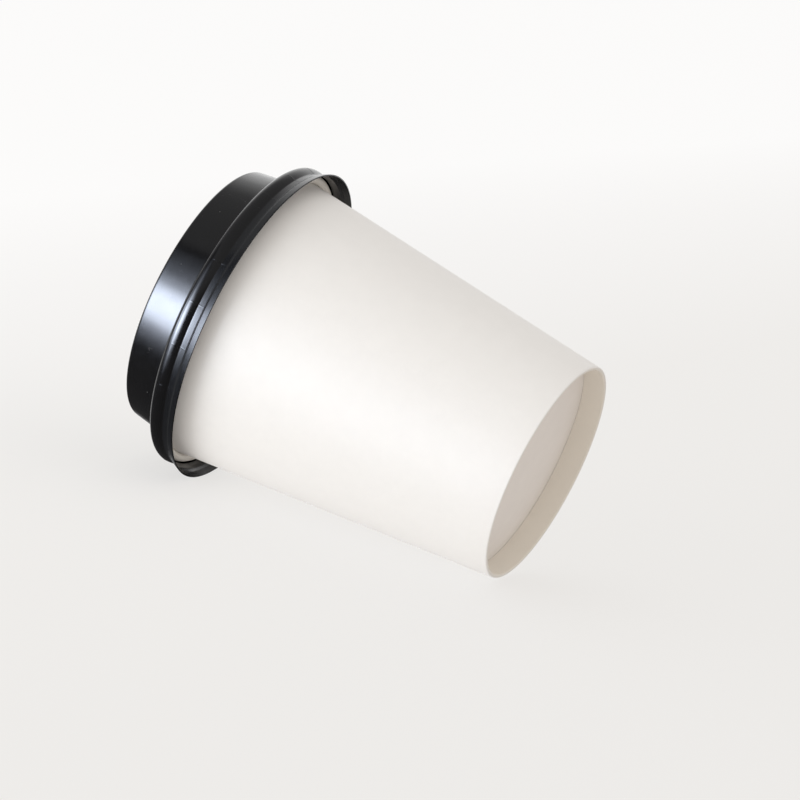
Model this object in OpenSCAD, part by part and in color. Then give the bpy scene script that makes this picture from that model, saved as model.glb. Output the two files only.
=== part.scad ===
// Paper coffee cup with its travel lid pressed on.
// Three sheets make it: a side wall wrapped from a flat blank, rolled at the rim
// and folded under at the foot, a pressed bottom disc whose skirt is held in that
// fold, and a lid formed from one plastic sheet. Each sheet has one thickness and
// follows a bent path, so each is drawn as that path, given its thickness and turned
// round the cup's axis.
// Millimetres, +Z up along the axis, origin at the centre of the foot.

/* [Cup] */
// Height of the cup to the top of its rolled rim
cup_h = 88.3; // [80:0.1:110]
// Outer diameter of the rolled rim
rim_d = 79.4; // [77.5:0.1:82]
// Outer diameter of the side wall at the foot
foot_d = 57.6; // [50:0.1:62]
// Thickness of the side wall's paper board
wall_t = 0.32; // [0.28:0.01:0.4]

/* [Rolled rim] */
// Height of the roll from its underside to its top
roll_d = 2.5; // [2.3:0.05:2.8]
// Space between the wall and the end of the roll
roll_gap = 0.12; // [0.08:0.01:0.18]

/* [Foot and bottom] */
// Depth of the recess under the bottom disc
recess_h = 6.2; // [5:0.1:9]
// Thickness of the bottom disc's paper board
disc_t = 0.3; // [0.25:0.01:0.4]
// Radius of the bend at the disc's edge, on the middle of the board
disc_bend_r = 0.45; // [0.4:0.05:0.65]
// Space on each side of the disc's skirt inside the foot
foot_gap = 0.04; // [0.02:0.01:0.08]
// Radius of the foot's two folds, on the middle of the board
fold_r = 0.22; // [0.21:0.01:0.26]
// Space between the foot's fold and the lower edge of the disc's skirt
skirt_gap = 0.3; // [0.1:0.05:0.6]
// Space between the disc's bend and the top of the foot's inner leg
leg_gap = 0.05; // [0:0.05:1]

/* [Side seam] */
// Width of the lap where the two ends of the blank are sealed
seam_w = 7.5; // [5:0.5:10]
// Width of the slope where the outer layer climbs onto the lap
seam_rise_w = 1.6; // [1:0.1:3]
// How far the lap stands out from the wall
seam_t = 0.3; // [0.2:0.01:0.35]
// Space between the top of the lap and the rolled rim
seam_top_gap = 0.4; // [0.2:0.1:2]
// Direction of the seam round the cup, in degrees
seam_angle = 290; // [0:5:355]

/* [Lid's crown] */
// Thickness of the lid's formed sheet
lid_t = 0.3; // [0.25:0.01:0.35]
// Height of the crown's top above the rim
crown_h = 12.6; // [10:0.1:16]
// How far the crown's top lies inside the rolled rim, on each side
crown_in = 5.8; // [5.4:0.1:6.7]
// Draft of the crown's wall, in degrees
crown_draft = 8.5; // [7:0.5:9]
// Width of the crown's rounded top edge
edge_w = 1.9; // [1.75:0.05:2.4]
// Depth of the deck below the crown's top
deck_depth = 5; // [4:0.1:6.5]
// Draft of the wall that stands round the deck, in degrees
deck_draft = 10; // [6:1:14]

/* [Lid's ring and skirt] */
// Clearance between the rolled rim and the neck that snaps past it
snap_gap = 0.2; // [0.12:0.01:0.25]
// Clearance between the rolled rim and the slope that seats on it
seat_gap = 0.25; // [0.2:0.01:0.3]
// Slope of the seat away from upright, in degrees
seat_slope = 25; // [22:1:28]
// Height of the ring's crest above the rim
ring_h = 2.1; // [1.9:0.05:2.4]
// How far the ring stands out past the neck
ring_out = 0.55; // [0.45:0.05:0.8]
// Radius of the ring's outer shoulder
ring_r = 2.2; // [1.6:0.1:2.3]
// Depth of the valley between ring and crown, below the rim
valley_drop = 0.9; // [0.7:0.05:1.1]
// Depth of the neck below the middle of the rolled rim
neck_drop = 0.85; // [0.7:0.05:1.1]
// Depth of the skirt's crease below the neck
crease_drop = 2; // [1.6:0.1:2.4]
// Depth of the skirt's lower edge below the neck
skirt_h = 4; // [3.4:0.1:5]
// How far the crease stands out past the neck
crease_out = 0.65; // [0.4:0.05:0.8]
// How far the skirt's lower edge stands out past the neck
skirt_out = 1.65; // [1.4:0.05:2.2]

/* [Mouthpiece] */
// Direction of the mouthpiece round the lid, in degrees
mouth_angle = 170; // [0:5:355]
// Radius of the mouthpiece's inner side
pad_r = 17; // [15:0.5:20]
// How far the mouthpiece reaches in from the wall round the deck
pad_reach = 9.5; // [8:0.5:12]
// Depth of the mouthpiece's top below the crown's top
pad_drop = 1.3; // [1.2:0.1:1.8]
// Length of the drinking slot
slot_l = 12; // [9:0.5:14]
// Width of the drinking slot
slot_w = 3.6; // [3:0.1:3.8]
// Diameter of the air vent
vent_d = 1.2; // [0.8:0.1:2]
// Distance of the air vent from the axis
vent_off = 22; // [16:0.5:26]

/* [Hidden] */
$fn = 180;
// Points on each bend of a sheet
BEND_N = 9;
// A cut reaches this far past the face that it opens
CUT = 1;
// A lap sinks this far into the wall that it lies on
BED = 0.1;
// The lap's slope runs on into the wall by this factor
SLOPE_ON = 1.6;

// Side wall, on the middle of its board
roll_r = (roll_d - wall_t) / 2;
roll_z = cup_h - roll_d / 2;
roll_top = cup_h - wall_t / 2;
roll_low = cup_h - roll_d + wall_t / 2;
rim_r = rim_d / 2 - wall_t / 2;
wall_top_r = rim_r - 2 * roll_r;
wall_foot_r = foot_d / 2 - wall_t / 2;
wall_k = (wall_top_r - wall_foot_r) / roll_top;
function wall_mid(z) = wall_foot_r + wall_k * z;
function wall_out(z) = wall_mid(z) + wall_t / 2 * norm([1, wall_k]);
// The roll's bends meet with this much straight board between them
ROLL_STRAIGHT = 0.03;
// The roll's last bend takes up what the other bends leave of its underside
roll_in_r = wall_mid(roll_low) + wall_t + roll_gap;
roll_end_r = (rim_r - roll_in_r - roll_r) / tan(45 + atan(wall_k) / 2);

// Foot: the wall, the disc's skirt and the folded leg stand side by side
skirt_in = (wall_t + disc_t) / 2 + foot_gap;
disc_z = recess_h + disc_t / 2;
// The leg ends below the bend that leads from the disc to its skirt
leg_top = recess_h - (disc_bend_r - disc_t / 2) - leg_gap;

// Lid, on the outer face of its sheet
crown_d = rim_d - 2 * crown_in;
crown_z = cup_h + crown_h;
crest_z = cup_h + ring_h;
valley_z = cup_h - valley_drop;
neck_z = roll_z - neck_drop;
neck_r = rim_d / 2 + snap_gap + lid_t;
crown_foot_r = crown_d / 2 + (crown_z - valley_z) * tan(crown_draft);
deck_z = crown_z - deck_depth;
function deck_wall_r(z) = crown_d / 2 - edge_w - (crown_z - z) * tan(deck_draft);
// Height of the ring's lower bend above the neck
RING_LOW = 0.75;
// Bend radii on the lid's outer face
CREASE_R = 0.5;
NECK_R = 0.4;
RING_LOW_R = 0.6;
CREST_R = 0.5;
VALLEY_R = 0.3;
EDGE_R = 0.93;
DECK_R = 0.8;

// The seat's slope touches the roll's upper inner side, less its gap and the sheet
seat_off = roll_d / 2 + seat_gap + lid_t;
seat_r = rim_d / 2 - roll_d / 2 - seat_off * cos(seat_slope);
seat_z = roll_z + seat_off * sin(seat_slope);
function seat_line(z) = seat_r + (z - seat_z) * tan(seat_slope);

// Mouthpiece
// The slot lies this far outside the middle of the mouthpiece
SLOT_OUT = 0.3;
// The hollow under the mouthpiece ends this far inside the crown's top
HOLLOW_IN = 1;
pad_z = crown_z - pad_drop;
pad_c = deck_wall_r(deck_z) - pad_reach + pad_r;
slot_c = deck_wall_r(deck_z) - pad_reach / 2 + SLOT_OUT;

// Paths: each corner is [distance from the axis, height, radius of the bend there]
WALL_PATH = [
    [wall_mid(leg_top) - 2 * skirt_in, leg_top],
    [wall_foot_r - 2 * skirt_in, wall_t / 2, fold_r],
    [wall_foot_r, wall_t / 2, fold_r],
    [wall_top_r, roll_top, roll_r - ROLL_STRAIGHT],
    [rim_r, roll_top, roll_r - ROLL_STRAIGHT],
    [rim_r, roll_low, roll_r - ROLL_STRAIGHT],
    [roll_in_r, roll_low, roll_end_r],
    [wall_mid(roll_z) + wall_t + roll_gap, roll_z]
];
DISC_PATH = [
    [0, disc_z],
    [wall_mid(disc_z) - skirt_in, disc_z, disc_bend_r],
    [wall_mid(wall_t + skirt_gap) - skirt_in, wall_t + skirt_gap]
];
LID_PATH = [
    [neck_r + skirt_out, neck_z - skirt_h],
    [neck_r + crease_out, neck_z - crease_drop, CREASE_R],
    [neck_r, neck_z, NECK_R],
    [neck_r + ring_out, neck_z + RING_LOW, RING_LOW_R],
    [neck_r + ring_out, crest_z, ring_r],
    [seat_line(crest_z), crest_z, CREST_R],
    [seat_line(valley_z), valley_z, VALLEY_R],
    [crown_foot_r, valley_z, VALLEY_R],
    [crown_d / 2, crown_z, EDGE_R],
    [deck_wall_r(crown_z), crown_z, EDGE_R],
    [deck_wall_r(deck_z), deck_z, DECK_R],
    [0, deck_z]
];

// The vector v made one unit long
function unit(v) = v / norm(v);
// Place of corner i of a path
function place(path, i) = [path[i][0], path[i][1]];
// The direction to the left of the way from p to q
function left(p, q) = let (u = unit(q - p)) [-u[1], u[0]];
// Corner i after the whole path has moved d to its left
function shifted(path, i, d) =
    let (
        last = len(path) - 1,
        a = left(place(path, max(i - 1, 0)), place(path, max(i, 1))),
        b = left(place(path, min(i, last - 1)), place(path, min(i + 1, last)))
    )
    place(path, i) + (a + b) * d / (1 + a * b);
// 1 where the path turns left at corner i, -1 where it turns right
function turn(path, i) =
    let (
        a = place(path, i) - place(path, i - 1),
        b = place(path, i + 1) - place(path, i)
    )
    sign(a[0] * b[1] - a[1] * b[0]);
// Points of a bend of radius r at corner c, which lies between p and q
function bend(p, c, q, r) =
    let (
        u = unit(p - c),
        w = unit(q - c),
        half = acos(u * w) / 2,
        mid = c + unit(u + w) * r / sin(half),
        a = c + u * r / tan(half) - mid,
        b = c + w * r / tan(half) - mid,
        sweep = 180 - 2 * half
    )
    [for (i = [0:BEND_N - 1])
        let (s = sweep * i / (BEND_N - 1))
        mid + (a * sin(sweep - s) + b * sin(s)) / sin(sweep)];
// One face of a sheet, d to the left of its path
function face(path, d) =
    let (
        last = len(path) - 1,
        s = [for (i = [0:last]) shifted(path, i, d)]
    )
    concat(
        [s[0]],
        [for (i = [1:last - 1])
            each bend(s[i - 1], s[i], s[i + 1], path[i][2] - turn(path, i) * d)],
        [s[last]]
    );
function reversed(points) = [for (i = [len(points) - 1:-1:0]) points[i]];

// Section of a sheet between the distances d0 and d1 to the left of its path
module sheet(path, d0, d1) {
    polygon(concat(face(path, d0), reversed(face(path, d1))));
}

// Outer layer of the lap: it ends square on one side and slopes down on the other
module seam_lap() {
    low = wall_t;
    high = cup_h - roll_d - seam_top_gap;
    half_w = seam_w / 2;
    mid_r = (wall_out(low) + wall_out(high)) / 2;
    rise_x = sqrt(pow(mid_r + seam_t, 2) - pow(half_w, 2)) - mid_r;
    foot_x = sqrt(pow(mid_r, 2) - pow(half_w + seam_rise_w, 2)) - mid_r;
    slope = [foot_x - rise_x, -seam_rise_w];
    rotate([0, 0, seam_angle])
    intersection() {
        rotate_extrude()
        polygon([
            [wall_out(low) - BED, low],
            [wall_out(low) + seam_t, low],
            [wall_out(high) + seam_t, high],
            [wall_out(high) - BED, high]
        ]);
        translate([foot_d / 2, 0, 0])
        rotate([0, atan(wall_k), 0])
        translate([0, 0, -CUT])
        linear_extrude(cup_h + 2 * CUT)
        polygon([
            [foot_x - seam_w, half_w],
            [seam_w, half_w],
            [seam_w, -half_w],
            [rise_x, -half_w],
            [rise_x + SLOPE_ON * slope[0], -half_w + SLOPE_ON * slope[1]],
            [foot_x - seam_w, -half_w + SLOPE_ON * slope[1]]
        ]);
    }
}

// The mouthpiece's plan as a solid from z0 to z1, drawn in by inset
module pad_block(z0, z1, inset, outer_r0, outer_r1) {
    intersection() {
        translate([0, 0, z0])
        cylinder(h = z1 - z0, r1 = outer_r0, r2 = outer_r1);
        translate([pad_c, 0, z0])
        cylinder(
            h = z1 - z0,
            r1 = pad_r - inset + (deck_z - z0) * tan(deck_draft),
            r2 = pad_r - inset - (z1 - deck_z) * tan(deck_draft)
        );
    }
}

module sidewall() {
    color("white") {
        rotate_extrude() sheet(WALL_PATH, -wall_t / 2, wall_t / 2);
        seam_lap();
    }
}

module bottom_disc() {
    color("ivory")
    rotate_extrude() sheet(DISC_PATH, -disc_t / 2, disc_t / 2);
}

module lid() {
    half_sheet = lid_t / 2;
    inside_z = deck_z - lid_t - CUT;
    color("black")
    rotate([0, 0, mouth_angle])
    difference() {
        union() {
            rotate_extrude() sheet(LID_PATH, 0, lid_t);
            pad_block(deck_z - half_sheet, pad_z, 0,
                deck_wall_r(deck_z - half_sheet) + half_sheet, deck_wall_r(pad_z) + half_sheet);
        }
        pad_block(inside_z, pad_z - lid_t, lid_t,
            crown_d / 2 - HOLLOW_IN, crown_d / 2 - HOLLOW_IN);
        for (side = [-1, 1])
            translate([slot_c, side * (slot_l - slot_w) / 2, pad_z - lid_t - CUT])
            cylinder(h = lid_t + 2 * CUT, d = slot_w);
        translate([slot_c - slot_w / 2, -(slot_l - slot_w) / 2, pad_z - lid_t - CUT])
        cube([slot_w, slot_l - slot_w, lid_t + 2 * CUT]);
        translate([-vent_off, 0, inside_z])
        cylinder(h = lid_t + 2 * CUT, d = vent_d);
    }
}

sidewall();
bottom_disc();
lid();
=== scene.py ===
# %% [markdown]
# # A paper coffee cup and its travel lid, dressed around the CAD frame
#
# The real object is three thin sheets: a side wall of coated board, a pressed bottom disc
# and a lid drawn from one sheet of black plastic. The CAD part has their true shapes, and this
# script gives them what a camera sees: smooth bends that a gloss runs over, the small
# ribs of the lid, the lap of the board, and the grain of each material.
#
# The imported part is loaded first, as a frame that stays where it is.

# %% Load the frame
import math

import bpy
from mathutils import Matrix, Quaternion, Vector


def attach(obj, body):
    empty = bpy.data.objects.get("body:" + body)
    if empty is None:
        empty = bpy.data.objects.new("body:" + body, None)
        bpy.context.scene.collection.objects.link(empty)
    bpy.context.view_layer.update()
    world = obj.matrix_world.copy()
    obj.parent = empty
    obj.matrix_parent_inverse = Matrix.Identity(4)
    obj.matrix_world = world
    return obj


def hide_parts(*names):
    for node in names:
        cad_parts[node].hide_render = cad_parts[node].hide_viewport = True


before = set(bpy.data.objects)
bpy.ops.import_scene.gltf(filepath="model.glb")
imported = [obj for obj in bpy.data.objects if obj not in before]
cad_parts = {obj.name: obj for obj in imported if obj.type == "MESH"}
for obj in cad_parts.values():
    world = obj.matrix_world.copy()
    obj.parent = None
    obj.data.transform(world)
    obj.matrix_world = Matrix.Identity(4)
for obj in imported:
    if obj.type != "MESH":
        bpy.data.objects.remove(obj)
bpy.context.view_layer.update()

MM = 0.001

# %% [markdown]
# ## The camera
#
# The photo looks at the cup from under its foot, with the cup lying on its side. The cup
# stands upright in the frame, so the camera goes low, looks up, and is rolled by the same
# turn as the cup. Its place comes from fitting the rings of cup and lid to the ellipses
# that they draw in the photo. One fit gives the distance and the lens together: a long
# lens from about a metre and a quarter away.

# %% Set the camera
CAMERA_RIGHT = Vector((-0.5233, 0.0104, -0.8521))
CAMERA_UP = Vector((-0.7045, 0.5572, 0.4395))
CAMERA_PLACE = Vector((604.44, 1045.74, -316.27)) * MM
FOCAL_PIXELS = 5105
IMAGE_PIXELS = 800
SENSOR_MM = 36

right = CAMERA_RIGHT.normalized()
back = right.cross(CAMERA_UP).normalized()
up = back.cross(right)
camera_data = bpy.data.cameras.new("photo_camera")
camera_data.sensor_width = SENSOR_MM
camera_data.lens = SENSOR_MM * FOCAL_PIXELS / IMAGE_PIXELS
camera = bpy.data.objects.new("photo_camera", camera_data)
bpy.context.scene.collection.objects.link(camera)
turn = Matrix((right, up, back)).transposed()
camera.matrix_world = Matrix.Translation(CAMERA_PLACE) @ turn.to_4x4()
bpy.context.scene.camera = camera
bpy.context.scene.view_settings.view_transform = "Standard"
print("lens", round(camera_data.lens, 1), "mm, looking along", [round(-x, 3) for x in back])

# %% [markdown]
# ## Small helpers
#
# Blender's operators work on whatever is selected, and loading the frame leaves its
# meshes selected. So everything is let go before a new piece is begun, and a piece is
# always finished by leaving edit mode. Faces and vertices are picked in code, by their place.

# %% Helpers for selecting and finishing
def let_go():
    """Leave edit mode and select nothing."""
    if bpy.context.object and bpy.context.object.mode != "OBJECT":
        bpy.ops.object.mode_set(mode="OBJECT")
    bpy.ops.object.select_all(action="DESELECT")


def take(obj):
    """Make obj the only selected and the active one."""
    let_go()
    obj.select_set(True)
    bpy.context.view_layer.objects.active = obj


def pick(obj, wanted, what="VERT"):
    """In edit mode, select the vertices or faces for which wanted(one of them) is true."""
    bpy.ops.mesh.select_mode(type=what)
    bpy.ops.mesh.select_all(action="DESELECT")
    bpy.ops.object.mode_set(mode="OBJECT")
    parts = obj.data.vertices if what == "VERT" else obj.data.polygons
    count = 0
    for part in parts:
        part.select = bool(wanted(part))
        count += part.select
    bpy.ops.object.mode_set(mode="EDIT")
    return count


def apply_modifier(obj, kind, **settings):
    """Add a modifier to obj, set it and apply it."""
    take(obj)
    modifier = obj.modifiers.new(kind.lower(), kind)
    for name, value in settings.items():
        setattr(modifier, name, value)
    bpy.ops.object.modifier_apply(modifier=modifier.name)


# %% [markdown]
# ## Drawing a sheet's section
#
# Each piece is a sheet that keeps one thickness and follows a bent path round the cup's
# axis. A path is written as its corners, each with the radius of its bend, as a tool maker
# would write it, and the bends are worked out. Drawing it means extruding one vertex along
# the path, the way a profile is clicked out by hand before it is spun.

# %% Helpers that draw a section and spin it
def rounded(corners, step):
    """Points in mm of a path whose corners are (r, z) or (r, z, bend radius)."""
    points = []
    for i, corner in enumerate(corners):
        here = Vector(corner[:2])
        if len(corner) == 2:
            points.append(here)
            continue
        before = (Vector(corners[i - 1][:2]) - here).normalized()
        after = (Vector(corners[i + 1][:2]) - here).normalized()
        half = before.angle(after) / 2
        radius = corner[2]
        middle = here + (before + after).normalized() * radius / math.sin(half)
        start = here + before * radius / math.tan(half) - middle
        end = here + after * radius / math.tan(half) - middle
        sweep = math.pi - 2 * half
        count = max(2, round(math.degrees(sweep) / step))
        for k in range(count + 1):
            part = sweep * k / count
            mix = start * math.sin(sweep - part) + end * math.sin(part)
            points.append(middle + mix / math.sin(sweep))
    return points


def draw_section(name, points):
    """A wire in the X-Z plane through the points, left in edit mode with all selected."""
    let_go()
    first = points[0] * MM
    bpy.ops.mesh.primitive_plane_add(size=MM, location=(first.x, 0, first.y))
    obj = bpy.context.object
    obj.name = obj.data.name = name
    bpy.ops.object.transform_apply(location=True)
    bpy.ops.object.mode_set(mode="EDIT")
    bpy.ops.mesh.select_mode(type="VERT")
    bpy.ops.mesh.select_all(action="SELECT")
    bpy.ops.mesh.merge(type="CENTER")
    for a, b in zip(points, points[1:]):
        move = (b - a) * MM
        bpy.ops.mesh.extrude_vertices_move(
            TRANSFORM_OT_translate={"value": (move.x, 0, move.y)}
        )
    bpy.ops.mesh.select_all(action="SELECT")
    return obj


def close_up(threshold=0.0005):
    """Merge what a spin leaves double, in mm, and point the faces outwards."""
    bpy.ops.mesh.select_all(action="SELECT")
    bpy.ops.mesh.remove_doubles(threshold=threshold * MM)
    bpy.ops.mesh.normals_make_consistent(inside=False)


# %% [markdown]
# ## The lid's section
#
# The lid is vacuum formed: one black sheet, 0.3 mm thick, pulled over a mould. From the trimmed
# edge of its skirt it climbs to a tight neck that snaps under the cup's rolled rim, over
# the round ring that holds the rim, down into a narrow valley, up the tall wall of the
# crown, over its edge and down to the deck that the drink is sipped from. The corners
# below are on the face that is seen. They keep to the CAD section within 0.3 mm, and the
# ring is a little rounder and lower than there, because its highlight shows it so.

# %% The lid's path and its rows inside the crown
CROWN_TOP = 100.9
DECK_TOP = 95.9
DECK_WALL_R = 32.0
DECK_DRAFT = math.tan(math.radians(10))
DECK_BEND = 0.8
PAD_TOP = 99.6
PAD_SLOPE = 0.16
PAD_ROOT_BEND = 0.36
PAD_EDGE_BEND = 0.5
LID_SHEET = 0.3

SKIRT_EDGE_Z = 82.2
LID_CORNERS = [
    (41.85, SKIRT_EDGE_Z),
    (41.19, 83.72, 0.6),
    (40.67, 84.4, 0.6),
    (40.18, 86.0, 0.3),
    (40.75, 87.2, 3.3),
    (40.75, 90.15, 2.1),
    (37.91, 90.15, 0.5),
    (36.627, 87.4, 0.3),
    (35.918, 87.4, 0.3),
    (33.9, 100.9, 0.93),
    (DECK_WALL_R, CROWN_TOP, 0.93),
    (DECK_WALL_R - (CROWN_TOP - PAD_TOP) * DECK_DRAFT, PAD_TOP),
]


def deck_wall(z):
    """Radius of the wall round the deck at the height z, before the bend at its foot."""
    return DECK_WALL_R - (CROWN_TOP - z) * DECK_DRAFT


def foot_bend(z):
    """How far the bend at the deck stands off its wall at the height z."""
    rise = max(z - DECK_TOP, 0.0)
    if rise >= DECK_BEND:
        return 0.0
    return DECK_BEND - math.sqrt(DECK_BEND**2 - (DECK_BEND - rise) ** 2)


lid_path = rounded(LID_CORNERS, step=8.0)[:-1]
plain_rows = len(lid_path)

# Heights of the rows between the crown's edge and the deck, from the top down
root_rows = [PAD_TOP + PAD_SLOPE + PAD_ROOT_BEND * (1 - math.sin(math.radians(a)))
             for a in (5, 20, 35, 50, 65, 78)]
pad_rows = [PAD_TOP + PAD_SLOPE * (1 - k / 10) for k in range(11)]
edge_rows = [PAD_TOP - PAD_EDGE_BEND * (1 - math.cos(math.radians(a)))
             for a in (20, 34, 46, 57, 68, 80)]
side_rows = [98.7, 98.2, 97.7, 97.2, 96.72]
bend_rows = [DECK_TOP + DECK_BEND * (1 - math.cos(math.radians(a)))
             for a in (68, 57, 46, 35, 24, 12, 0)]
wall_rows = root_rows + pad_rows + edge_rows + side_rows + bend_rows
lid_path += [Vector((deck_wall(z) - foot_bend(z), z)) for z in wall_rows]
DECK_EDGE_R = lid_path[-1].x
deck_shares = [0.96, 0.9, 0.82, 0.72, 0.6, 0.48, 0.36, 0.24, 0.12, 0.0]
lid_path += [Vector((DECK_EDGE_R * share, DECK_TOP)) for share in deck_shares]
print("lid's section:", len(lid_path), "points,", len(wall_rows), "rows on the deck's wall")

# %% [markdown]
# ## Spinning the lid, with its ribs
#
# Small upright ribs cross the lower half of the ring and end in a nub on the neck, one
# about every sixteen degrees: they bite on the rolled rim. They catch the light as fine
# dashes. What repeats is modelled once, so the section is spun through one rib's share of the
# turn, in narrow steps at the rib that widen away from it, because a sudden change of step
# would show in the gloss. The rib's middle vertices are pulled out, and the finished
# slice is copied round and merged.

# %% Spin one slice of the lid and copy it round
RIBS = 22
RIB_AT = 23.8
MOUTH_AT = 170.0
RIB_TOP_WIDTH = 0.1
RIB_FOOT_WIDTH = 0.28
RIB_MARGIN = 0.1
RIB_OUT = 0.045
RIB_FROM = 85.75
RIB_TO = 88.3
RIB_INSIDE_R = 39.5
NECK_R = 40.3
WIDENING = (0.36, 0.9)
PLAIN_STEPS = 6

slice_angle = 360.0 / RIBS
half_top = math.degrees(RIB_TOP_WIDTH / 2 / NECK_R)
half_foot = math.degrees(RIB_FOOT_WIDTH / 2 / NECK_R)
margin = math.degrees(RIB_MARGIN / NECK_R)
rib_steps = [margin, half_foot - half_top, 2 * half_top, half_foot - half_top, margin]
plain = (slice_angle - sum(rib_steps) - 2 * sum(WIDENING)) / PLAIN_STEPS
slice_steps = rib_steps + [*WIDENING] + [plain] * PLAIN_STEPS + [*reversed(WIDENING)]

lid = draw_section("travel_lid", lid_path)
for step in slice_steps:
    bpy.ops.mesh.spin(steps=1, angle=math.radians(step), center=(0, 0, 0), axis=(0, 0, 1))


def angle_of(place):
    """Azimuth of a place in degrees."""
    return math.degrees(math.atan2(place.y, place.x))


bpy.ops.object.mode_set(mode="OBJECT")
spun = [angle_of(v.co) for v in lid.data.vertices if v.co.z < SKIRT_EDGE_Z * MM + 1e-5]
way = 1 if max(spun) > slice_angle / 2 else -1
bpy.ops.object.mode_set(mode="EDIT")
rib_middle = way * (margin + half_foot)


def on_rib(v):
    """True for a vertex in the middle of the rib, on the outer face of the ring."""
    near = abs(angle_of(v.co) - rib_middle) < half_top * 1.5
    return near and RIB_FROM * MM < v.co.z < RIB_TO * MM and v.co.x > RIB_INSIDE_R * MM


ribbed = pick(lid, on_rib)
bpy.ops.transform.translate(value=(RIB_OUT * MM, 0, 0))
bpy.ops.mesh.select_all(action="SELECT")
bpy.ops.mesh.spin(
    steps=RIBS - 1,
    dupli=True,
    angle=math.radians(slice_angle * (RIBS - 1)),
    center=(0, 0, 0),
    axis=(0, 0, 1),
)
close_up()
bpy.ops.object.mode_set(mode="OBJECT")
print("lid:", len(lid.data.polygons), "faces,", ribbed, "vertices pulled out a rib")

# %% [markdown]
# ## Turning the slices to their place
#
# The mouthpiece is modelled on the +X side, where its sums are simple, and the whole lid
# is turned to its real place afterwards. The ribs are therefore turned first, by what
# brings one of them to the azimuth at which the photo shows it.

# %% Turn the ribs, then cut more columns beside the mouthpiece
PAD_R = 17.0
PAD_CENTRE = 38.618
CORNER_BLEND = 1.6
FINE_FROM = 21.6
FINE_TO = 29.2
FINE_STEP = 0.4
FINE_REACH = 3.0
FINE_ABOVE_Z = 90.0
FINE_WITHIN_R = 34.0


def near_cut(face, azimuth):
    """True for a face of the crown or the deck that lies near the azimuth."""
    place = face.center
    if place.x <= 0 or abs(angle_of(place) - azimuth) >= FINE_REACH:
        return False
    return place.z > FINE_ABOVE_Z * MM and math.hypot(place.x, place.y) < FINE_WITHIN_R * MM


first_turn = (RIB_AT - MOUTH_AT - rib_middle) % slice_angle
lid.rotation_euler.z = math.radians(first_turn)
take(lid)
bpy.ops.object.transform_apply(rotation=True)
bpy.ops.object.mode_set(mode="EDIT")
cuts = round((FINE_TO - FINE_FROM) / FINE_STEP)
for k in range(cuts + 1):
    for side in (-1, 1):
        a = math.radians(side * (FINE_FROM + k * FINE_STEP))
        pick(lid, lambda f: near_cut(f, math.degrees(a)), "FACE")
        bpy.ops.mesh.bisect(
            plane_co=(0, 0, 0), plane_no=(-math.sin(a), math.cos(a), 0), threshold=1e-6
        )
bpy.ops.object.mode_set(mode="OBJECT")
print("after the fine cuts:", len(lid.data.polygons), "faces")

# %% [markdown]
# ## Forming the mouthpiece
#
# The mouthpiece is the raised pad against the wall round the deck, with the drinking slot in
# it. It is the same sheet, so nothing is stuck on. Each row of the spun wall stays at its
# height and moves inwards to where a cut through the formed lid would have it: at every
# height the outline is the deck's circle with the pad's circle taken out, and their
# corners are rounded. Proportional editing could pull it by hand, but the outline by
# sums keeps the corners even.

# %% Work out the outline of the mouthpiece
CLEAR_OF_PAD = 5.0
HALVINGS = 26
NO_PAD = 0.002
ROOT_GROWS_OVER = 1.2


def pad_side(z):
    """Radius of the pad's side about its own centre at the height z."""
    r = PAD_R - (z - DECK_TOP) * DECK_DRAFT
    drop = PAD_TOP - z
    if drop < PAD_EDGE_BEND:
        r -= PAD_EDGE_BEND - math.sqrt(max(0, PAD_EDGE_BEND**2 - (PAD_EDGE_BEND - drop) ** 2))
    return r + foot_bend(z)


def outline(angle, z):
    """Distance from the axis to the formed wall, along a ray, at the height z."""
    wall = deck_wall(z) - foot_bend(z)
    side = pad_side(z)
    ux, uy = math.cos(angle), math.sin(angle)

    def solid(t):
        """Below zero in the deck's hollow, above zero in the wall or the pad."""
        a = t - wall
        b = side - math.hypot(t * ux - PAD_CENTRE, t * uy)
        overlap = max(CORNER_BLEND - abs(a - b), 0.0)
        return max(a, b) + overlap**2 / (4 * CORNER_BLEND)

    low, high = CLEAR_OF_PAD, wall
    if solid(high) <= 1e-9:
        return wall
    for _ in range(HALVINGS):
        middle = (low + high) / 2
        low, high = (middle, high) if solid(middle) < 0 else (low, middle)
    return low


known = {}


def outline_at(angle, z):
    """The same distance, worked out once for each angle and height."""
    key = (round(angle, 6), round(z, 4))
    if key not in known:
        known[key] = outline(angle, z)
    return known[key]


def formed(r, angle, z):
    """Where a point of the spun lid goes, in mm."""
    wall_top = deck_wall(PAD_TOP)
    edge = outline_at(angle, PAD_TOP)
    room = wall_top - edge
    if room < NO_PAD and outline_at(angle, DECK_TOP) > DECK_EDGE_R - NO_PAD:
        return r
    root = PAD_TOP + PAD_SLOPE
    share = min(1.0, room / ROOT_GROWS_OVER)
    if z > root + 1e-4:
        rise = (z - root) / PAD_ROOT_BEND
        off = PAD_ROOT_BEND * (1 - math.sqrt(max(0.0, 1 - (1 - rise) ** 2))) if rise < 1 else 0
        return deck_wall(z) - off * share
    if z > PAD_TOP - 1e-4:
        start = deck_wall(root) - PAD_ROOT_BEND * share
        u = (root - z) / PAD_SLOPE
        return start + (edge - start) * u
    if z > DECK_TOP + 1e-4 or r > DECK_EDGE_R - 0.01:
        return outline_at(angle, z)
    return outline_at(angle, DECK_TOP) * r / DECK_EDGE_R


print("pad's edge at the top:", round(outline_at(0.0, PAD_TOP), 2), "mm from the axis")

# %% [markdown]
# The rows are now moved, each vertex along its own ray from the axis. Only the sector
# round the mouthpiece is touched.

# %% Move the rows of the deck's wall in to form the pad
MOUTH_SPREAD = 0.75

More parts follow.
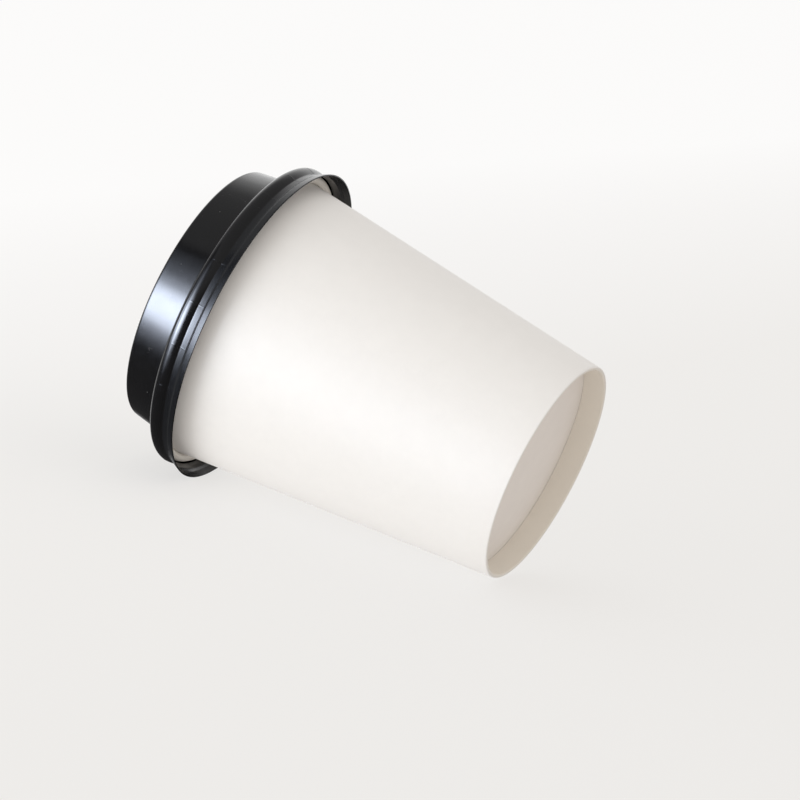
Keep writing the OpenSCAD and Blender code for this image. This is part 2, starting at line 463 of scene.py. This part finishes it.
moved = 0
for v in lid.data.vertices:
    r, z = math.hypot(v.co.x, v.co.y) / MM, v.co.z / MM
    inside = r < DECK_WALL_R and v.co.x > 0 and DECK_TOP - 0.01 < z < wall_rows[0] + 0.01
    if inside and r > 0.5 and abs(v.co.y) < v.co.x * MOUTH_SPREAD:
        angle = math.atan2(v.co.y, v.co.x)
        new_r = formed(r, angle, z) * MM
        v.co.x, v.co.y = new_r * math.cos(angle), new_r * math.sin(angle)
        moved += 1
print("mouthpiece: moved", moved, "vertices")

# %% [markdown]
# ## Giving the sheet its thickness, and punching it
#
# So far the lid is a skin without thickness. Solidify grows it inwards and closes the
# trimmed edge. The slot and the air vent are punched after forming, so they are cut
# last, with straight walls, by a Boolean: two cutters are made, used and deleted.

# %% Solidify the lid, punch the slot and the vent
apply_modifier(lid, "SOLIDIFY", thickness=LID_SHEET * MM, offset=-1.0, use_even_offset=True)

SLOT_AT = 26.668
SLOT_LENGTH = 12.0
SLOT_WIDTH = 3.6
VENT_AT = 22.0
VENT_WIDTH = 1.2
PUNCH_TALL = 4.0
LID_SMOOTH = math.radians(40)


def punch(at_x, at_z, width, length):
    """Cut an upright hole through the lid: round, or long in Y with round ends."""
    let_go()
    bpy.ops.mesh.primitive_cylinder_add(
        vertices=64, radius=width / 2 * MM, depth=PUNCH_TALL * MM,
        location=(at_x * MM, 0, at_z * MM),
    )
    cutter = bpy.context.object
    bpy.ops.object.transform_apply(location=True)
    bpy.ops.object.mode_set(mode="EDIT")
    if length > width:
        bpy.ops.mesh.select_all(action="SELECT")
        bpy.ops.mesh.bisect(plane_co=(0, 0, 0), plane_no=(0, 1, 0), threshold=1e-7)
        for side in (-1, 1):
            pick(cutter, lambda v: v.co.y * side > 1e-6)
            move = side * (length - width) / 2 * MM
            bpy.ops.transform.translate(value=(0, move, 0))
    bpy.ops.object.mode_set(mode="OBJECT")
    apply_modifier(lid, "BOOLEAN", operation="DIFFERENCE", object=cutter, solver="EXACT")
    bpy.data.objects.remove(cutter)


punch(SLOT_AT, PAD_TOP, SLOT_WIDTH, SLOT_LENGTH)
punch(-VENT_AT, DECK_TOP, VENT_WIDTH, VENT_WIDTH)
lid.rotation_euler.z = math.radians(MOUTH_AT)
take(lid)
bpy.ops.object.transform_apply(rotation=True)
bpy.ops.object.shade_smooth_by_angle(angle=LID_SMOOTH)
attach(lid, "lid")
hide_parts("lid")
print("lid:", len(lid.data.polygons), "faces after punching")

# %% [markdown]
# ## The side wall
#
# The wall is one fan-shaped blank of board, wrapped to a cone and sealed in a lap. Its top
# edge is rolled outwards, and its lower edge is folded up round the bottom's skirt. The
# path runs along the middle of the board: from the end of the folded leg, down round the
# foot, up the wall and round the roll. Spinning it and thickening it to both sides makes
# the sheet in one go.

# %% Spin the wall and thicken it
WALL_BOARD = 0.32
WALL_COLUMNS = 240
WALL_ROWS = 12
BEND_STEP = 9.0
BOARD_SMOOTH = math.radians(35)
WALL_CORNERS = [
    (28.425, 6.15),
    (28.475, 5.6, 0.5),
    (27.94, 0.16, 0.22),
    (28.64, 0.16, 0.22),
    (37.36, 88.14, 1.06),
    (39.54, 88.14, 1.06),
    (39.54, 85.96, 1.06),
    (37.584, 85.96, 0.784),
    (37.692, 87.05),
]
WALL_SLOPE = 0.0989
FOOT_R = 28.8
ROLL_UNDER = 85.8

wall_path = rounded(WALL_CORNERS, step=BEND_STEP)
foot_end = max(i for i, p in enumerate(wall_path) if p.y < 1)
low_end, high_end = wall_path[foot_end], wall_path[foot_end + 1]
straight = [low_end.lerp(high_end, k / WALL_ROWS) for k in range(1, WALL_ROWS)]
wall_path = wall_path[: foot_end + 1] + straight + wall_path[foot_end + 1 :]
wall = draw_section("side_wall", wall_path)
bpy.ops.mesh.spin(
    steps=WALL_COLUMNS, angle=2 * math.pi, center=(0, 0, 0), axis=(0, 0, 1)
)
close_up()
apply_modifier(wall, "SOLIDIFY", thickness=WALL_BOARD * MM, offset=0.0, use_even_offset=True)
print("side wall:", len(wall.data.polygons), "faces")

# %% [markdown]
# ## The side seam
#
# Where the blank's ends lap, the outer layer stands proud in a band a finger's nail wide,
# with its cut edge on one side and a slow slope on the other where it climbs. The band
# keeps its width up the cone, so its edges are cut into the wall by planes that stand beside
# each other, and what lies between them is pushed out.

# %% Cut the lap's lines into the wall and push the band out
SEAM_AT = 290.0
SEAM_HALF = 3.75
SEAM_RISE = 1.6
SEAM_OUT = 0.3
SEAM_EDGE = 0.03
SEAM_LOW = 0.32
SEAM_HIGH = 85.4
SEAM_REACH = 7.0

seam_way = Matrix.Rotation(math.radians(SEAM_AT), 3, "Z")
along = seam_way @ Vector((1, 0, 0))
across = seam_way @ Vector((0, 1, 0))


def is_outer(co):
    """True for a place on the outer face of the straight wall."""
    height = co.z / MM
    return math.hypot(co.x, co.y) / MM > FOOT_R + WALL_SLOPE * height - WALL_BOARD / 2


def near_seam(face):
    """True for a face of the straight wall's outside, beside the seam."""
    place = face.center
    beside = place.dot(along) > 0 and abs(place.dot(across)) < SEAM_REACH * MM
    return beside and place.z < ROLL_UNDER * MM and is_outer(place)


def cut_wall(place, normal):
    """Cut the faces beside the seam along a plane."""
    pick(wall, near_seam, "FACE")
    bpy.ops.mesh.bisect(plane_co=place, plane_no=normal, threshold=1e-7)


take(wall)
bpy.ops.object.mode_set(mode="EDIT")
for line in (SEAM_HALF, SEAM_HALF - SEAM_EDGE, -SEAM_HALF, -SEAM_HALF - SEAM_RISE):
    cut_wall(across * line * MM, across)
for height in (SEAM_LOW, SEAM_LOW + SEAM_EDGE, SEAM_HIGH - SEAM_EDGE, SEAM_HIGH):
    cut_wall((0, 0, height * MM), (0, 0, 1))
bpy.ops.object.mode_set(mode="OBJECT")
pushed = 0
for v in wall.data.vertices:
    height, side = v.co.z / MM, v.co.dot(across) / MM
    if v.co.dot(along) < 0 or not is_outer(v.co):
        continue
    if not SEAM_LOW + SEAM_EDGE / 2 < height < SEAM_HIGH - SEAM_EDGE / 2:
        continue
    if side > SEAM_HALF - SEAM_EDGE / 2 or side < -SEAM_HALF - SEAM_RISE:
        continue
    rise = min(1.0, (side + SEAM_HALF + SEAM_RISE) / SEAM_RISE)
    out = Vector((v.co.x, v.co.y, 0)).normalized()
    v.co += (out - Vector((0, 0, WALL_SLOPE))).normalized() * SEAM_OUT * rise * MM
    pushed += rise > 0
take(wall)
bpy.ops.object.shade_smooth_by_angle(angle=BOARD_SMOOTH)
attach(wall, "cup")
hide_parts("sidewall")
print("seam: pushed out", pushed, "vertices")

# %% [markdown]
# ## The bottom disc
#
# A flat disc of board whose rim is pressed down into a short skirt. The skirt stands
# between the wall and its folded leg. It is spun from its own path, and a slow dish of
# a tenth of a millimetre is pressed into its middle, because real board never stays flat.

# %% Spin the bottom disc
BOTTOM_BOARD = 0.3
DISC_Z = 6.35
DISC_CORNERS = [(0.0, DISC_Z), (28.918, DISC_Z, 0.45), (28.351, 0.62)]
DISC_RINGS = 14
DISC_COLUMNS = 180
DISH = 0.1

disc_path = rounded(DISC_CORNERS, step=BEND_STEP)
reach = disc_path[1].x
rings = [Vector((reach * k / DISC_RINGS, DISC_Z)) for k in range(DISC_RINGS)]
disc = draw_section("bottom_disc_board", rings + disc_path[1:])
bpy.ops.mesh.spin(
    steps=DISC_COLUMNS, angle=2 * math.pi, center=(0, 0, 0), axis=(0, 0, 1)
)
close_up()
bpy.ops.object.mode_set(mode="OBJECT")
for v in disc.data.vertices:
    r = math.hypot(v.co.x, v.co.y) / MM
    if r < reach:
        v.co.z += DISH * math.cos(math.pi / 2 * r / reach) ** 2 * MM
apply_modifier(disc, "SOLIDIFY", thickness=BOTTOM_BOARD * MM, offset=0.0, use_even_offset=True)
bpy.ops.object.shade_smooth_by_angle(angle=BOARD_SMOOTH)
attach(disc, "cup")
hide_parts("bottom_disc")
print("bottom disc:", len(disc.data.polygons), "faces")

# %% [markdown]
# ## Materials
#
# Each finish is made of nodes on Object coordinates, so a pattern keeps its real size and
# stays on its piece. Coordinates are in metres, so a scale of 1000 puts one cell of noise
# in a millimetre.

# %% Helpers for materials
def new_material(name):
    """A new material with its nodes, links, shader and Object coordinates."""
    material = bpy.data.materials.new(name)
    material.use_nodes = True
    nodes, links = material.node_tree.nodes, material.node_tree.links
    shader = nodes["Principled BSDF"]
    place = nodes.new("ShaderNodeTexCoord").outputs["Object"]
    return material, nodes, links, shader, place


def noise(nodes, links, place, scale, detail=4.0, roughness=0.55):
    """Cloudy noise from 0 to 1 at the place."""
    node = nodes.new("ShaderNodeTexNoise")
    node.inputs["Scale"].default_value = scale
    node.inputs["Detail"].default_value = detail
    node.inputs["Roughness"].default_value = roughness
    links.new(place, node.inputs["Vector"])
    return node.outputs["Fac"]


def ramp(nodes, links, source, stops):
    """A colour ramp with (position, colour) stops; a colour may be one number for a grey."""
    node = nodes.new("ShaderNodeValToRGB")
    while len(node.color_ramp.elements) > len(stops):
        node.color_ramp.elements.remove(node.color_ramp.elements[-1])
    while len(node.color_ramp.elements) < len(stops):
        node.color_ramp.elements.new(0.5)
    for element, (position, colour) in zip(node.color_ramp.elements, stops):
        element.position = position
        rgb = (colour,) * 3 if isinstance(colour, (int, float)) else colour
        element.color = (*rgb, 1)
    links.new(source, node.inputs["Fac"])
    return node.outputs["Color"]


def bump(nodes, links, height, distance, strength=1.0, under=None):
    """A normal tilted by a height of so many mm, on top of the normal under it."""
    node = nodes.new("ShaderNodeBump")
    node.inputs["Distance"].default_value = distance * MM
    node.inputs["Strength"].default_value = strength
    links.new(height, node.inputs["Height"])
    if under is not None:
        links.new(under, node.inputs["Normal"])
    return node.outputs["Normal"]


def ramp_between(nodes, links, value, low, high, to_low=0.0, to_high=1.0):
    """A straight change from to_low to to_high while value goes from low to high."""
    node = nodes.new("ShaderNodeMapRange")
    sockets = ("From Min", "From Max", "To Min", "To Max")
    for name, number in zip(sockets, (low, high, to_low, to_high)):
        node.inputs[name].default_value = number
    links.new(value, node.inputs["Value"])
    return node.outputs["Result"]


def height_mask(nodes, links, place, low, high):
    """0 at the height low and 1 at the height high, in mm up the axis."""
    split = nodes.new("ShaderNodeSeparateXYZ")
    links.new(place, split.inputs["Vector"])
    return ramp_between(nodes, links, split.outputs["Z"], low * MM, high * MM)


def blend(nodes, links, factor, a, b):
    """Mix of two colours or sockets by a factor socket."""
    node = nodes.new("ShaderNodeMix")
    node.data_type = "RGBA"
    links.new(factor, node.inputs["Factor"])
    for value, socket in ((a, node.inputs["A"]), (b, node.inputs["B"])):
        if isinstance(value, bpy.types.NodeSocket):
            links.new(value, socket)
        else:
            rgb = (value,) * 3 if isinstance(value, (int, float)) else value
            socket.default_value = (*rgb, 1)
    return node.outputs["Result"]


# %% [markdown]
# ### Board
#
# Coated cup board is white but not blank: its fibres lie in soft clouds a few millimetres
# across, with a finer tooth on top, and its coating has a satin sheen. The inside of the
# blank, which shows on the roll and the folded leg, has the waterproof film, a little
# creamier and smoother. The folded leg's face towards the axis is painted darker and warmer
# than the board: painted shade and warm bounced light of the recess under the foot. Cut
# edges show the bare fibre.

# %% Make the board finishes
def board_material(name, colour, clouds, rough, tooth, sheen):
    """Board with soft clouds that darken it by a share, and a tooth of so many mm."""
    material, nodes, links, shader, place = new_material(name)
    cloud = noise(nodes, links, place, 240, 3.0)
    fibre = noise(nodes, links, place, 2600, 5.0, 0.7)
    dark = tuple(c * (1 - clouds) for c in colour)
    links.new(ramp(nodes, links, cloud, [(0.3, dark), (0.7, colour)]), shader.inputs["Base Color"])
    links.new(
        ramp(nodes, links, fibre, [(0.3, rough - 0.07), (0.7, rough + 0.07)]),
        shader.inputs["Roughness"],
    )
    first = bump(nodes, links, cloud, tooth * 2.0, 0.5)
    links.new(bump(nodes, links, fibre, tooth, 0.6, first), shader.inputs["Normal"])
    shader.inputs["Specular IOR Level"].default_value = sheen
    return material


# name, colour, clouds, roughness, tooth, sheen; the order is that of the wall's finishes
WALL_BOARDS = [
    ("coated_board_outside", (0.87, 0.865, 0.855), 0.015, 0.58, 0.012, 0.2),
    ("coated_board_film_side", (0.86, 0.84, 0.79), 0.02, 0.4, 0.008, 0.25),
    ("board_cut_edge", (0.80, 0.775, 0.73), 0.08, 0.8, 0.03, 0.1),
    # the folded leg's finish is darker and warmer than the board: painted shade and warm bounced
    # light of the recess
    ("foot_leg_painted_shade", (0.815, 0.775, 0.705), 0.02, 0.6, 0.012, 0.15),
]
BOTTOM_LOOK = ("bottom_board", (0.86, 0.83, 0.80), 0.025, 0.6, 0.015, 0.15)

for look in WALL_BOARDS:
    wall.data.materials.append(board_material(*look))
disc.data.materials.append(board_material(*BOTTOM_LOOK))

ROLL_FROM = 85.7
LEG_TOP = 6.19
LEG_FACE_R = 28.0


def board_side(face):
    """Finish of a face of the wall: 0 outside, 1 film side, 2 cut edge, 3 folded leg with painted
    shade.
    """
    r = math.hypot(face.center.x, face.center.y) / MM
    height = face.center.z / MM
    outward = Vector((face.center.x, face.center.y, 0)).normalized().dot(face.normal)
    side = face.center.dot(across) / MM
    on_lap = face.center.dot(along) > 0 and abs(side - SEAM_HALF + SEAM_EDGE / 2) < SEAM_EDGE
    if on_lap and abs(face.normal.dot(across)) > 0.7:
        return 2
    if height > ROLL_FROM:
        return 1
    if outward > 0 and r > FOOT_R - 0.1 + WALL_SLOPE * height - WALL_BOARD / 2:
        return 0
    # the leg's face towards the axis gets the finish with painted shade
    on_leg = height < LEG_TOP and r < LEG_FACE_R + WALL_SLOPE * height
    return 3 if on_leg and outward < 0 else 1


counts = [0] * len(WALL_BOARDS)
for face in wall.data.polygons:
    face.material_index = board_side(face)
    counts[face.material_index] += 1
print("wall finishes:", counts)

# %% [markdown]
# ### Lid plastic
#
# The sheet is glossy black on the crown and the ring, where it was stretched over a
# polished mould. The skirt keeps a finer, satin texture. Handling leaves hairline
# scuffs and a few specks of dust. The base colour stays almost black and the look
# comes from what the gloss reflects, so most of the detail is in the roughness and in
# a very shallow bump.

# %% Make the lid's finish
GLOSSY_FROM, SATIN_FROM = 85.95, 85.7

lid_black, nodes, links, shader, place = new_material("lid_black_sheet")
waves = noise(nodes, links, place, 55, 2.0)
haze = noise(nodes, links, place, 380, 5.0, 0.65)
grain = noise(nodes, links, place, 3400, 3.0, 0.6)
skirt = height_mask(nodes, links, place, GLOSSY_FROM, SATIN_FROM)
gloss = ramp(nodes, links, haze, [(0.35, 0.15), (0.7, 0.21)])
satin = ramp(nodes, links, grain, [(0.3, 0.17), (0.7, 0.24)])
links.new(blend(nodes, links, skirt, gloss, satin), shader.inputs["Roughness"])

dust_cells = nodes.new("ShaderNodeTexVoronoi")
dust_cells.inputs["Scale"].default_value = 210
links.new(place, dust_cells.inputs["Vector"])
dust = ramp(nodes, links, dust_cells.outputs["Distance"], [(0.02, 1.0), (0.035, 0.0)])
lines = noise(nodes, links, place, 140, 2.0, 0.4)
hairs = ramp(nodes, links, lines, [(0.495, 0.0), (0.5, 0.8), (0.505, 0.0)])
patches = ramp(nodes, links, noise(nodes, links, place, 330, 2.0), [(0.62, 0.0), (0.7, 0.5)])
scuffs = blend(nodes, links, patches, 0.0, hairs)
black = blend(nodes, links, skirt, (0.0072, 0.0072, 0.0080), (0.0078, 0.0083, 0.0100))
scuffed = blend(nodes, links, scuffs, black, (0.10, 0.10, 0.10))
links.new(blend(nodes, links, dust, scuffed, (0.16, 0.16, 0.16)), shader.inputs["Base Color"])

slow = bump(nodes, links, waves, 0.05, 0.25)
fine_height = blend(nodes, links, skirt, 0.5, grain)
links.new(bump(nodes, links, fine_height, 0.012, 0.4, slow), shader.inputs["Normal"])
shader.inputs["Specular IOR Level"].default_value = 0.45
lid.data.materials.clear()
lid.data.materials.append(lid_black)
print("lid finish made")

# %% [markdown]
# ## Stage and light
#
# The cup stands upright in the frame and lies on its side in the photo, so there are
# two pale floors. The level one under the foot is for the standing views. The slanting
# one touches the edge of the skirt and the edge of the foot, as the table does under a
# lying cup. Each shows only its upper side, and only to the camera, so that neither
# shades the cup.
#
# A floor is mostly its own glow, so that it stays white, and for a share it is lit, so
# that it holds a shadow. The lying floor pales away from the camera and to its left, as
# in the photo, and the level one pales outwards, so that no horizon shows.

# %% Helpers for the floors
FLOOR_SIZE = 9.0


def floor_material(name, glow, stops, way=None):
    """A pale floor seen from its front only; its tone changes along way or outwards, in m."""
    material = bpy.data.materials.new(name)
    material.use_nodes = True
    nodes, links = material.node_tree.nodes, material.node_tree.links
    nodes.clear()
    reach = nodes.new("ShaderNodeVectorMath")
    reach.operation = "DOT_PRODUCT" if way else "LENGTH"
    if way:
        reach.inputs[1].default_value = way
    links.new(nodes.new("ShaderNodeTexCoord").outputs["Object"], reach.inputs[0])
    tone = ramp(nodes, links, reach.outputs["Value"], stops)
    diffuse = nodes.new("ShaderNodeBsdfDiffuse")
    light = nodes.new("ShaderNodeEmission")
    links.new(tone, diffuse.inputs["Color"])
    links.new(tone, light.inputs["Color"])
    lift = nodes.new("ShaderNodeMixShader")
    lift.inputs[0].default_value = glow
    links.new(diffuse.outputs[0], lift.inputs[1])
    links.new(light.outputs[0], lift.inputs[2])
    clear = nodes.new("ShaderNodeBsdfTransparent")
    side = nodes.new("ShaderNodeMixShader")
    links.new(nodes.new("ShaderNodeNewGeometry").outputs["Backfacing"], side.inputs[0])
    links.new(lift.outputs[0], side.inputs[1])
    links.new(clear.outputs[0], side.inputs[2])
    output = nodes.new("ShaderNodeOutputMaterial")
    links.new(side.outputs[0], output.inputs["Surface"])
    return material


def make_floor(name, middle, normal, material):
    """A large square floor that only the camera sees."""
    let_go()
    bpy.ops.mesh.primitive_plane_add(size=FLOOR_SIZE, location=middle)
    floor = bpy.context.object
    floor.name = floor.data.name = name
    floor.rotation_mode = "QUATERNION"
    floor.rotation_quaternion = normal.to_track_quat("Z", "Y")
    bpy.ops.object.transform_apply(location=True, rotation=True)
    floor.data.materials.append(material)
    for ray in ("diffuse", "glossy", "transmission", "volume_scatter", "shadow"):
        setattr(floor, "visible_" + ray, False)


# %% [markdown]
# The lying floor is the plane through the outermost edge of the skirt and the edge of the
# foot, on the side of the cup that lies down in the photo. Both floors are set a little
# clear of the cup.

# %% Make the two floors
FLOOR_GLOW = 0.75
SKIRT_EDGE = (41.85, 82.07)
FOOT_EDGE = (28.8, 0.0)
TABLE_SIDE = -45.0
TABLE_CLEAR = 0.15
LEVEL_TONES = [(0.16, (0.81, 0.805, 0.795)), (1.0, (0.985, 0.98, 0.975))]
TABLE_TONES = [
    (0.0, (0.87, 0.86, 0.845)),
    (0.25, (0.885, 0.875, 0.86)),
    (0.5, (0.95, 0.945, 0.94)),
    (0.65, (1.0, 1.0, 1.0)),
]

make_floor(
    "level_floor",
    (0, 0, -TABLE_CLEAR * MM),
    Vector((0, 0, 1)),
    floor_material("level_floor_white", FLOOR_GLOW, LEVEL_TONES),
)
lean = math.atan2(SKIRT_EDGE[0] - FOOT_EDGE[0], SKIRT_EDGE[1] - FOOT_EDGE[1])
side = math.radians(TABLE_SIDE)
outward = Vector((math.cos(side), math.sin(side), 0))
table_out = outward * math.cos(lean) - Vector((0, 0, math.sin(lean)))
touch = outward * SKIRT_EDGE[0] * MM + Vector((0, 0, SKIRT_EDGE[1] * MM))
away_and_left = tuple(-back - 2 * right)
make_floor(
    "lying_floor",
    touch + table_out * TABLE_CLEAR * MM,
    -table_out,
    floor_material("lying_floor_white", FLOOR_GLOW, TABLE_TONES, away_and_left),
)
print("lying floor leans", round(math.degrees(lean), 2), "degrees")

# %% [markdown]
# ### Light
#
# The photo has one large window in a bright white room. The gloss on the crown says
# where the window is: the middle of the highlight, mirrored at the crown's wall, points
# to it. A square soft lamp stands there and lights the board. A second, weak one fills
# the far side. Neither shows in the gloss.

# %% Make the lamps
CUP_MIDDLE = 0.05


def way_to(azimuth, elevation):
    """The direction to a place seen from the cup, in degrees."""
    a, e = math.radians(azimuth), math.radians(elevation)
    return Vector((math.cos(a) * math.cos(e), math.sin(a) * math.cos(e), math.sin(e)))


def soft_lamp(name, azimuth, elevation, distance, size, watts, colour):
    """A square lamp that faces the cup and lights it without showing in its gloss."""
    data = bpy.data.lights.new(name, "AREA")
    data.shape, data.size, data.energy, data.color = "SQUARE", size, watts, colour
    lamp = bpy.data.objects.new(name, data)
    way_out = way_to(azimuth, elevation)
    lamp.location = way_out * distance + Vector((0, 0, CUP_MIDDLE))
    lamp.rotation_mode = "QUATERNION"
    lamp.rotation_quaternion = way_out.to_track_quat("Z", "Y")
    lamp.visible_camera = False
    lamp.visible_glossy = False
    bpy.context.scene.collection.objects.link(lamp)


# name, azimuth, elevation, distance, size, watts, colour
LAMPS = [
    ("window", 41, 40, 0.9, 0.62, 3.1, (0.98, 0.995, 1.0)),
    ("room_fill", -70, 30, 1.2, 0.9, 3.0, (1.0, 0.99, 0.98)),
]
for lamp in LAMPS:
    soft_lamp(*lamp)
print("lamps:", [lamp[0] for lamp in LAMPS])

# %% [markdown]
# ### What the gloss sees of the window
#
# The highlight on the crown is bright in its middle, fades slowly to both sides, and
# narrows upwards. A card that only glossy rays see stands at the window. Its glow is the
# product of two ramps over the card: one across it, which is drawn in towards the top,
# and one up it.

# %% Make the window's card
WINDOW_AT, WINDOW_UP = 39.0, 42.0
WINDOW_ROLL = 6.0
WINDOW_AWAY = 0.9
WINDOW_LIFT = 0.08
WINDOW_WIDE, WINDOW_TALL = 1.6, 1.44
WINDOW_MIDDLE = 0.47
WINDOW_NARROWER = 1.5
NARROWS_FROM, NARROWS_TO = 0.45, 0.8
WINDOW_POWER = 40.0
WINDOW_COLOUR = (0.76, 0.84, 1.0, 1)
WINDOW_ACROSS = [(0.0, 0.0), (0.12, 0.045), (0.22, 0.12), (0.31, 0.42), (0.4, 1.0),
                 (0.53, 1.0), (0.63, 0.3), (0.71, 0.09), (0.86, 0.03), (1.0, 0.0)]
WINDOW_RISE = [(0.0, 0.0), (0.16, 0.62), (0.42, 1.0), (0.61, 0.3), (0.72, 0.36),
               (0.8, 0.36), (0.92, 0.0)]


def reckon(nodes, links, a, b, operation="MULTIPLY"):
    """Product of two numbers or sockets, or what another operation makes of them."""
    node = nodes.new("ShaderNodeMath")
    node.operation = operation
    for value, socket in ((a, node.inputs[0]), (b, node.inputs[1])):
        if isinstance(value, bpy.types.NodeSocket):
            links.new(value, socket)
        else:
            socket.default_value = value
    return node.outputs[0]


def window_glow():
    """The card's material: its glow is strongest in the middle and none at the edges."""
    material = bpy.data.materials.new("window_glow")
    material.use_nodes = True
    nodes, links = material.node_tree.nodes, material.node_tree.links
    nodes.clear()
    split = nodes.new("ShaderNodeSeparateXYZ")
    links.new(nodes.new("ShaderNodeTexCoord").outputs["UV"], split.inputs["Vector"])
    over, upright = split.outputs["X"], split.outputs["Y"]
    narrow = ramp_between(
        nodes, links, upright, NARROWS_FROM, NARROWS_TO, 1.0, WINDOW_NARROWER
    )
    off_middle = reckon(nodes, links, over, -WINDOW_MIDDLE, "ADD")
    drawn_in = reckon(nodes, links, off_middle, narrow)
    drawn_in = reckon(nodes, links, drawn_in, WINDOW_MIDDLE, "ADD")
    sideways = ramp(nodes, links, drawn_in, WINDOW_ACROSS)
    upwards = ramp(nodes, links, upright, WINDOW_RISE)
    soft = reckon(nodes, links, sideways, upwards)
    light = nodes.new("ShaderNodeEmission")
    light.inputs["Color"].default_value = WINDOW_COLOUR
    links.new(reckon(nodes, links, WINDOW_POWER, soft), light.inputs["Strength"])
    output = nodes.new("ShaderNodeOutputMaterial")
    links.new(light.outputs[0], output.inputs["Surface"])
    return material


let_go()
bpy.ops.mesh.primitive_plane_add(size=1)
card = bpy.context.object
card.name = card.data.name = "window_glow"
card.scale = (WINDOW_WIDE, WINDOW_TALL, 1)
facing = way_to(WINDOW_AT, WINDOW_UP)
card.location = facing * WINDOW_AWAY + Vector((0, 0, WINDOW_LIFT))
card.rotation_mode = "QUATERNION"
roll = Quaternion((0, 0, 1), math.radians(WINDOW_ROLL))
card.rotation_quaternion = facing.to_track_quat("Z", "Y") @ roll
bpy.ops.object.transform_apply(location=True, rotation=True, scale=True)
card.data.materials.append(window_glow())
for ray in ("camera", "diffuse", "transmission", "volume_scatter", "shadow"):
    setattr(card, "visible_" + ray, False)
print("window's card:", WINDOW_WIDE, "by", WINDOW_TALL, "m")

# %% [markdown]
# ### The room
#
# The world is the room. It lights the board with a warm white that is paler above than
# below. The camera sees it almost white. The gloss sees a dim room that brightens far
# behind the cup, and a dark table below it.

# %% Make the world
world = bpy.data.worlds.new("white_room")
bpy.context.scene.world = world
world.use_nodes = True
nodes, links = world.node_tree.nodes, world.node_tree.links
nodes.clear()
direction = nodes.new("ShaderNodeTexCoord").outputs["Generated"]


def along_way(way, low, high):
    """0 where the direction's share along way is low, 1 where it is high."""
    dot = nodes.new("ShaderNodeVectorMath")
    dot.operation = "DOT_PRODUCT"
    dot.inputs[1].default_value = way
    links.new(direction, dot.inputs[0])
    return ramp_between(nodes, links, dot.outputs["Value"], low, high)


ROOM = [(0.0, (0.71, 0.66, 0.62)), (0.5, (0.895, 0.865, 0.825)), (1.0, (0.94, 0.925, 0.91))]
SEEN = [(0.0, (0.97, 0.965, 0.955)), (1.0, (1.0, 1.0, 1.0))]
GLOSS_ROOM = [(0.0, 0.3), (0.76, 0.36), (0.9, 0.85), (1.0, 1.25)]
GLOSS_TABLE = 0.04
room = ramp(nodes, links, along_way((0, 0, 1), -0.7, 0.7), ROOM)
backdrop = ramp(nodes, links, along_way(tuple(-back), -0.8, 0.8), GLOSS_ROOM)
above = along_way(tuple(up), -0.2, 0.1)
mirrored = blend(nodes, links, above, GLOSS_TABLE, backdrop)
seen = ramp(nodes, links, along_way((0, 0, 1), -0.5, 0.5), SEEN)
path = nodes.new("ShaderNodeLightPath")
unseen = blend(nodes, links, path.outputs["Is Glossy Ray"], room, mirrored)
picked = blend(nodes, links, path.outputs["Is Camera Ray"], unseen, seen)
background = nodes.new("ShaderNodeBackground")
links.new(picked, background.inputs["Color"])
world_out = nodes.new("ShaderNodeOutputWorld")
links.new(background.outputs[0], world_out.inputs["Surface"])
print("world made")
